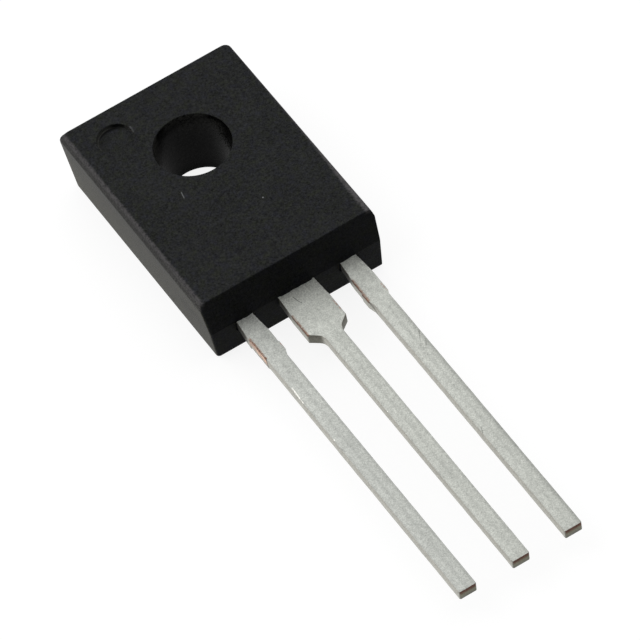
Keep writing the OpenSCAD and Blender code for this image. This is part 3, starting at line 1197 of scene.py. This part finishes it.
@dataclass(frozen=True)
class SealedParts:
    """The chip, its solder and the bond wires, which keep their CAD meshes."""

    finishes: tuple[tuple[str, Slot, InnerFinish], ...] = (
        ("transistor_die", Slot.CHIP, InnerFinish("silicon", tone(92, 96, 110), 0.3, 0.12)),
        ("die_solder", Slot.SOLDER, InnerFinish("solder", tone(150, 152, 156), 1.0, 0.35)),
        ("emitter_wire", Slot.WIRE, InnerFinish("heavy_wire", tone(215, 216, 219), 1.0, 0.25)),
        ("base_wire", Slot.WIRE, InnerFinish("light_wire", tone(215, 216, 219), 1.0, 0.22)),
    )

    def dress(self) -> None:
        """Gives each sealed node its material."""
        for node, slot, finish in self.finishes:
            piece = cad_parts[node]
            piece.data.materials.clear()
            piece.data.materials.append(finish.material())
            LOG.info("%s: %s", node, finish.name)


@dataclass(frozen=True)
class SoftBox:
    """A square lamp panel, given by where it stands as seen from the part."""

    name: str
    way: Place
    distance: float
    side: float
    brightness: float

    def place(self) -> None:
        """Hangs the panel so that it faces the part; its brightness is that of its face."""
        data = bpy.data.lights.new(self.name, "AREA")
        data.shape = "SQUARE"
        data.size = self.side
        data.energy = self.brightness * math.pi * self.side**2
        made = add_object(self.name, data)
        way = Vector(self.way).normalized()
        made.location = way * self.distance
        made.rotation_mode = "QUATERNION"
        made.rotation_quaternion = (-way).to_track_quat("-Z", "Y")


@dataclass(frozen=True)
class Studio:
    """The pale floor, the soft lights and the camera that sees what the photograph shows."""

    camera_place: Place = (-81.1806, -215.5796, 271.5597)
    camera_turn: Place = (38.7039, 8.0439, -31.3453)
    focal_pixels: float = 9361.1
    picture_pixels: float = 640.0
    sensor: float = 36.0
    sight: Spot = (0.01, 20.0)
    floor_half: float = 1.5
    floor_gap: float = 0.02
    paper: Colour = tone(118, 118, 118)
    paper_glow: float = 0.86
    room_light: float = 0.14
    boxes: tuple[SoftBox, ...] = (
        SoftBox("back_box", (0.20, 0.52, 0.83), 0.5, 1.15, 1.20),
        SoftBox("left_box", (-0.80, 0.40, 0.50), 0.6, 0.80, 0.9),
    )

    def camera(self) -> None:
        """Makes the scene's camera."""
        data = bpy.data.cameras.new("photo_camera")
        data.sensor_width = self.sensor
        data.lens = self.focal_pixels / self.picture_pixels * self.sensor
        data.clip_start, data.clip_end = self.sight
        made = add_object("photo_camera", data)
        made.location = Vector(self.camera_place) * MM
        made.rotation_euler = [math.radians(turn) for turn in self.camera_turn]
        bpy.context.scene.camera = made

    def floor(self) -> None:
        """Makes the floor, which looks white to the camera and keeps the shadow."""
        half = self.floor_half
        level = -self.floor_gap * MM
        shape = bmesh.new()
        corners = [(-half, -half), (half, -half), (half, half), (-half, half)]
        shape.faces.new([shape.verts.new((x, y, level)) for x, y in corners])
        made = mesh_object(shape, "studio_floor")
        made.data.materials.append(self._paper())

    def _paper(self) -> Material:
        """Matt paper that glows a little for the camera and in reflections, and nowhere else."""
        tree = ShaderTree("studio_paper")
        path = tree.node("ShaderNodeLightPath")
        seen = Level(tree, path.outputs["Is Camera Ray"])
        mirrored = Level(tree, path.outputs["Is Glossy Ray"])
        through = Level(tree, path.outputs["Is Transmission Ray"])
        glow = (seen | mirrored | through) * self.paper_glow
        tree.show_front_only()
        return tree.set(
            Base_Color=self.paper,
            Roughness=0.9,
            Specular_IOR_Level=0.0,
            Emission_Color=tree.mix(glow, BLACK, WHITE),
            Emission_Strength=1.0,
        )

    def lights(self) -> None:
        """Makes the soft boxes and the even light of the room."""
        for box in self.boxes:
            box.place()
        world = bpy.data.worlds.new("studio_room")
        world.use_nodes = True
        background = world.node_tree.nodes["Background"]
        background.inputs["Color"].default_value = WHITE
        background.inputs["Strength"].default_value = self.room_light
        bpy.context.scene.world = world


def front_marks(height: float) -> tuple[Stroke, ...]:
    """The light scratch and the pale speck on the case's front face, and a painted highlight on the ejector
    recess's right rim.
    """
    # A pale colour for the scratch and the speck, and for the painted highlight on the ejector recess's
    # rim.
    dust_and_highlight = tone(150, 152, 154)
    return (
        Stroke((-1.545, -1.75, height), (-1.60, -2.05, height), 0.030, dust_and_highlight, 0.32),
        Stroke((0.79, -3.88, height), (0.80, -3.88, height), 0.035, dust_and_highlight, 0.75),
        # Painted highlight on the ejector recess's right rim.
        Stroke((-1.475, 2.22, height), (-1.50, 1.98, height), 0.085, dust_and_highlight, 0.15),
        Stroke((-1.50, 1.96, height), (-1.65, 1.69, height), 0.050, dust_and_highlight, 0.08),
    )


def lead_strips() -> tuple[LeadStrip, ...]:
    """The three strips, each with the marks that it shows."""
    dull_copper = tone(208, 178, 162)
    # Painted highlight on the bare copper of the emitter strip's side.
    copper_highlight = tone(255, 216, 190)
    brown = tone(128, 92, 72)
    rust = tone(150, 104, 84)
    dark_streak = tone(62, 60, 56)
    # The colour of the painted shade on the step at the end of the emitter strip's dent.
    step = tone(92, 89, 84)
    # The colour of the painted glints on the plating.
    glint = tone(244, 243, 236)
    emitter_marks = (
        Stroke((-2.69, -8.34, 1.29), (-2.69, -9.36, 1.27), 0.17, dull_copper, 0.92, 0.4, 0.4),
        # Painted highlight on the bare copper.
        Stroke((-2.69, -8.60, 1.40), (-2.69, -8.88, 1.22), 0.065, copper_highlight, 1.0),
        Stroke((-2.69, -8.98, 1.37), (-2.69, -9.34, 1.28), 0.09, copper_highlight, 1.0, 0.5),
        Stroke((-2.675, -8.22, 1.48), (-2.675, -9.40, 1.48), 0.075, brown, 0.95, 0.5),
        Stroke((-2.69, -8.42, 1.03), (-2.69, -9.36, 1.03), 0.07, brown, 0.6, 0.5),
        # Painted shade on the step at the end of the dent.
        Stroke((-2.70, -9.43, 1.46), (-2.72, -9.47, 1.02), 0.075, step, 0.9),
        # Painted glint.
        Stroke((-2.606, -11.19, 1.48), (-2.645, -12.05, 1.48), 0.035, glint, 1.0, 0.6),
        Stroke((-1.85, -9.10, 1.46), (-1.83, -9.36, 1.44), 0.05, rust, 0.7),
        # Painted glint.
        Stroke((-2.62, -14.24, 1.48), (-2.62, -14.27, 1.48), 0.03, glint, 0.9),
    )
    collector_marks = (
        Stroke((-0.84, -8.28, 1.455), (-0.84, -9.41, 1.455), 0.095, brown, 0.85, 0.4),
        Stroke((0.80, -8.55, 1.47), (0.81, -9.15, 1.47), 0.04, rust, 0.6, 1.0),
        Stroke((-0.325, -7.50, 1.48), (-0.285, -7.74, 1.48), 0.026, dark_streak, 0.75),
        Stroke((-0.285, -7.74, 1.48), (-0.204, -7.954, 1.48), 0.020, dark_streak, 0.60),
        # Painted glint.
        Stroke((-0.339, -14.296, 1.48), (-0.339, -14.32, 1.48), 0.03, glint, 0.9),
    )
    base_marks = (
        Stroke((1.86, -8.22, 1.44), (1.85, -9.40, 1.43), 0.11, brown, 0.9, 0.3),
        # Darker down the shoulder face where the strip narrows.
        Stroke((1.86, -9.47, 1.40), (1.91, -9.80, 1.10), 0.10, dark_streak, 0.5),
        Stroke((2.66, -8.95, 1.46), (2.68, -9.40, 1.46), 0.04, rust, 0.6, 1.0),
        Stroke((2.602, -11.81, 1.48), (2.287, -12.463, 1.48), 0.028, dark_streak, 0.50, 0.8),
        Stroke((2.586, -12.336, 1.48), (2.461, -12.538, 1.48), 0.028, dark_streak, 0.50),
        Stroke((2.055, -17.08, 1.48), (1.965, -17.366, 1.48), 0.028, dark_streak, 0.45),
        Stroke((1.925, -13.49, 1.48), (1.93, -13.68, 1.48), 0.028, dark_streak, 0.35, 1.0),
        # Painted glint.
        Stroke((1.922, -16.45, 1.48), (1.922, -16.48, 1.48), 0.03, glint, 0.8),
    )
    return (
        LeadStrip(
            "collector_frame",
            "collector_strip",
            TinFinish("tin_middle", 0.0, marks=collector_marks),
            bend=0.040,
        ),
        LeadStrip(
            "emitter_lead",
            "emitter_strip",
            TinFinish("tin_left", -PITCH, face=tone(182, 184, 179), marks=emitter_marks),
            dents=(Dent(-1, -8.26, -9.47, 0.042),),
            bend=0.030,
        ),
        LeadStrip(
            "base_lead",
            "base_strip",
            TinFinish("tin_right", PITCH, right_shade=0.14, marks=base_marks),
            bend=0.025,
        ),
    )


def main() -> None:
    """Builds every piece and the studio, in order."""
    logging.basicConfig(level=logging.INFO, format="%(name)s: %(message)s")
    bpy.context.scene.view_settings.view_transform = "Standard"
    noise.seed_set(NOISE_SEED)
    studio = Studio()
    studio.camera()
    studio.floor()
    studio.lights()
    case = MouldedCase()
    epoxy = EpoxyFinish("moulded_epoxy", case, marks=front_marks(case.height)).material()
    case.build(epoxy)
    for strip in lead_strips():
        strip.build()
    RootResin().build(epoxy)
    SealedParts().dress()


if __name__ == "__main__":
    main()
